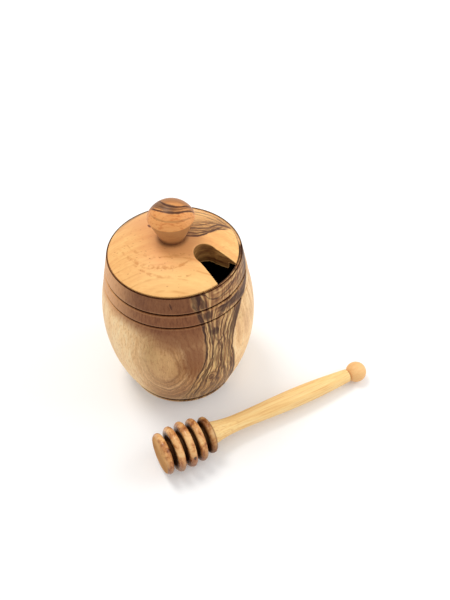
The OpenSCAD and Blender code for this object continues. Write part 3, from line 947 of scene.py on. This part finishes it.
def handle_wood(place):
    """Pale straight-grained stick of the dipper. z runs along its axis."""
    w = Wood("dipper_handle_wood", place)
    x, y, z = w.x, w.y, w.z
    fibres = w.noise(x * 1.3, y * 1.3, z * 0.05, 5, 0.62)
    broad = w.noise(x * 0.3, y * 0.3, z * 0.02, 3)
    colour = w.ramp(fibres * 0.55 + broad * 0.45, [
        (0.32, srgb(228, 174, 108)), (0.48, srgb(247, 206, 138)), (0.64, srgb(252, 222, 158))])
    streak = w.noise(x * 1.8, y * 1.8, z * 0.03, 4, 0.6).step(0.53, 0.62)
    colour = w.blend(streak * 0.3, colour, srgb(218, 154, 98))
    slant = w.noise(x * 0.8, y * 0.8 + z * 0.35, z * 0.12, 4, 0.6).step(0.56, 0.68)
    colour = w.blend(slant * z.step(58, 36) * 0.4, colour, srgb(206, 144, 84))
    shoulder = z.step(HEAD_L + 1.2, HEAD_L + 0.3)
    thin_neck = (z - HEAD_L - TIP_AT - NECK_L).size().step(0.9, 0.4)
    colour = w.blend(shoulder.larger(thin_neck) * 0.6, colour, srgb(120, 66, 36))
    ball = z.step(DIPPER_L - BALL_R - 0.7, DIPPER_L - BALL_R + 0.3)
    colour = w.blend(ball * 0.6, colour, srgb(236, 180, 122))
    return w.finish(colour, 0.42 + (fibres - 0.5) * 0.2, fibres)


def build_object():
    """Makes each piece, with its body, the solid it replaces and its material."""
    place = dipper_place()
    pieces = [
        (pot_mesh(), "pot", "pot", "pot_wood", pot_wood()),
        (lid_mesh(), "lid", "lid", "lid_wood", lid_wood()),
        (knob_mesh(), "lid", "knob", "knob_wood", knob_wood()),
        (dipper_head_mesh(place), "dipper", "dipper_head", "head_wood", head_wood(place)),
        (dipper_handle_mesh(place), "dipper", "dipper_handle", "handle_wood", handle_wood(place)),
    ]
    for piece, body, node, slot, material in pieces:
        piece.data.materials.clear()
        piece.data.materials.append(material)
        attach(piece, body)
        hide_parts(node)


# Setting

# The table: half its side, its colour, and the white added where the camera sees it,
# near the object and far from it, with the distances between which it grows
TABLE_HALF = 3.0
TABLE_COLOUR = (0.89, 0.9, 0.91, 1)
FLOOR_LIFT, FAR_LIFT = 0.09, 0.35
FADE_FROM, FADE_TO = 0.25, 1.0

# Light from all around, and the lamps: name, place, width, watts and colour
FILL_COLOUR, FILL_STRENGTH = (1.0, 0.98, 0.96, 1), 0.75
LAMPS = (
    ("window", (-0.28, 0.22, 0.95), 0.36, 3.6, (1.0, 0.98, 0.95)),
    ("white_wall", (0.75, 0.1, 0.5), 0.7, 2.2, (1.0, 1.0, 1.0)),
)
LAMPS_AIM = (0.02, -0.02, 0.05)

# The camera's place, its tilt down in degrees, and its lens, fitted to the photo
CAMERA_AT, CAMERA_TILT = (0.0270, -0.2548, 0.3345), 47.56
CAMERA_LENS, CAMERA_SENSOR = 52.0, 36.0


def table_material():
    material = bpy.data.materials.new("white_table")
    material.use_nodes = True
    tree = material.node_tree
    shader = tree.nodes["Principled BSDF"]
    shader.inputs["Base Color"].default_value = TABLE_COLOUR
    shader.inputs["Roughness"].default_value = 0.9
    shader.inputs["Specular IOR Level"].default_value = 0.0
    glow = tree.nodes.new("ShaderNodeEmission")
    glow.inputs["Color"].default_value = (1, 1, 1, 1)
    path = tree.nodes.new("ShaderNodeLightPath")
    coords = tree.nodes.new("ShaderNodeTexCoord")
    distance = tree.nodes.new("ShaderNodeVectorMath")
    distance.operation = "LENGTH"
    tree.links.new(coords.outputs["Object"], distance.inputs[0])
    far = Sig(tree, distance.outputs["Value"]).step(FADE_FROM, FADE_TO)
    lift = (far * FAR_LIFT + FLOOR_LIFT) * Sig(tree, path.outputs["Is Camera Ray"])
    tree.links.new(lift.out, glow.inputs["Strength"])
    both = tree.nodes.new("ShaderNodeAddShader")
    tree.links.new(shader.outputs[0], both.inputs[0])
    tree.links.new(glow.outputs[0], both.inputs[1])
    tree.links.new(both.outputs[0], tree.nodes["Material Output"].inputs["Surface"])
    return material


def build_floor():
    """A pale table that reads as white where it is lit and fades into the backdrop."""
    mesh = bpy.data.meshes.new("table_top")
    corners = [(x * TABLE_HALF, y * TABLE_HALF, 0) for x, y in ((-1, -1), (1, -1), (1, 1), (-1, 1))]
    mesh.from_pydata(corners, [], [(0, 1, 2, 3)])
    mesh.materials.append(table_material())
    floor = bpy.data.objects.new("table_top", mesh)
    bpy.context.scene.collection.objects.link(floor)


def build_world():
    """White where the camera looks past the table, and an even fill for all other rays."""
    world = bpy.data.worlds.new("studio")
    bpy.context.scene.world = world
    world.use_nodes = True
    tree = world.node_tree
    backdrop = tree.nodes["Background"]
    backdrop.inputs["Color"].default_value = (1, 1, 1, 1)
    backdrop.inputs["Strength"].default_value = 1.0
    fill = tree.nodes.new("ShaderNodeBackground")
    fill.inputs["Color"].default_value = FILL_COLOUR
    fill.inputs["Strength"].default_value = FILL_STRENGTH
    path = tree.nodes.new("ShaderNodeLightPath")
    mix = tree.nodes.new("ShaderNodeMixShader")
    tree.links.new(path.outputs["Is Camera Ray"], mix.inputs[0])
    tree.links.new(fill.outputs[0], mix.inputs[1])
    tree.links.new(backdrop.outputs[0], mix.inputs[2])
    tree.links.new(mix.outputs[0], tree.nodes["World Output"].inputs["Surface"])


def build_lights():
    for name, place, width, watts, colour in LAMPS:
        lamp = bpy.data.lights.new(name, "AREA")
        lamp.shape = "DISK"
        lamp.size = width
        lamp.energy = watts
        lamp.color = colour
        light = bpy.data.objects.new(name, lamp)
        bpy.context.scene.collection.objects.link(light)
        light.location = place
        light.rotation_euler = (Vector(LAMPS_AIM) - Vector(place)).to_track_quat("-Z", "Y").to_euler()


def build_camera():
    camera = bpy.data.cameras.new("camera")
    camera.sensor_fit = "HORIZONTAL"
    camera.sensor_width = CAMERA_SENSOR
    camera.lens = CAMERA_LENS
    camera.clip_start = 0.01
    viewer = bpy.data.objects.new("camera", camera)
    bpy.context.scene.collection.objects.link(viewer)
    viewer.location = CAMERA_AT
    viewer.rotation_euler = (math.radians(90 - CAMERA_TILT), 0, 0)
    bpy.context.scene.camera = viewer


build_object()
build_floor()
build_world()
build_lights()
build_camera()
bpy.context.scene.view_settings.view_transform = "Standard"
